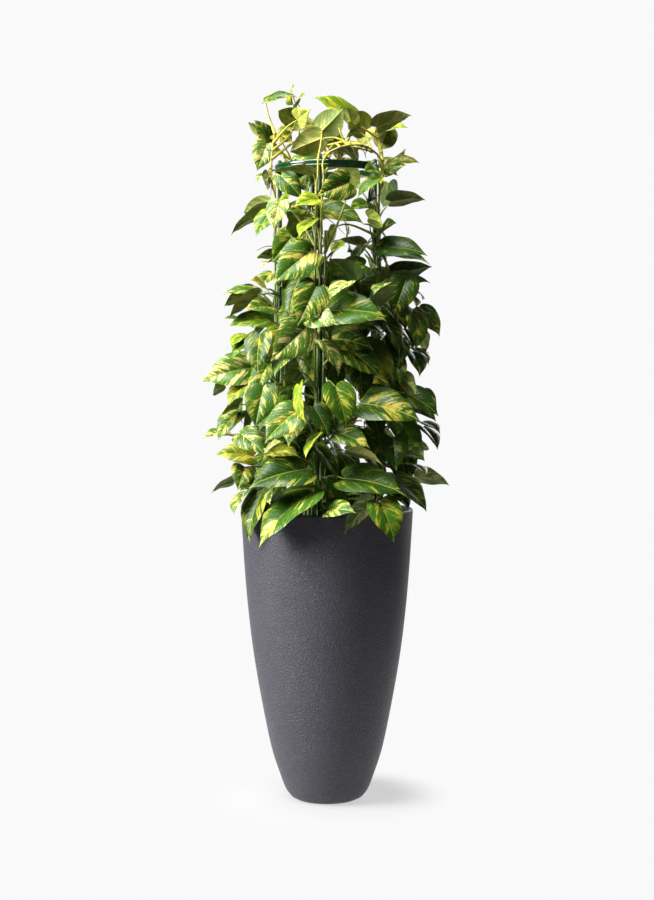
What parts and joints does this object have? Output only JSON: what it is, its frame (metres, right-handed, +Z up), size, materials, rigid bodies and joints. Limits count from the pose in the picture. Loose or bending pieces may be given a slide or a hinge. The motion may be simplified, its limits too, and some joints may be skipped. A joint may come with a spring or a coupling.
{
  "type": "potted golden pothos",
  "caption": "Golden pothos with marbled heart-shaped leaves, trained up slim stakes and a hoop, in a tall tapered round planter.",
  "frame": {"origin": "centre of the planter's flat base, on the floor", "axes": "+Z up. The picture looks along +Y, with +X to its right."},
  "size_m": [0.4227, 0.3807, 1.2157],
  "materials": {
    "planter_resin": "matte",
    "riser_foam": "matte",
    "nursery_pot_plastic": "satin",
    "potting_soil": "matte",
    "stake_coating": "satin",
    "ring_plastic": "gloss",
    "pothos_leaf": "satin"
  },
  "bodies": {
    "root": {"planter": "planter_resin", "riser_block": "riser_foam", "nursery_pot": "nursery_pot_plastic", "potting_soil": "potting_soil", "trellis_ring": "ring_plastic", "stake_front": "stake_coating", "stake_right": "stake_coating", "stake_back": "stake_coating", "stake_left": "stake_coating", "vine_01": "pothos_leaf", "vine_02": "pothos_leaf", "vine_03": "pothos_leaf", "vine_04": "pothos_leaf", "vine_05": "pothos_leaf", "vine_06": "pothos_leaf", "vine_07": "pothos_leaf", "vine_08": "pothos_leaf", "vine_09": "pothos_leaf", "vine_10": "pothos_leaf", "vine_11": "pothos_leaf", "vine_12": "pothos_leaf", "vine_13": "pothos_leaf", "vine_14": "pothos_leaf", "vine_15": "pothos_leaf", "vine_16": "pothos_leaf", "vine_17": "pothos_leaf", "vine_18": "pothos_leaf", "vine_19": "pothos_leaf", "vine_20": "pothos_leaf"}
  },
  "joints": []
}
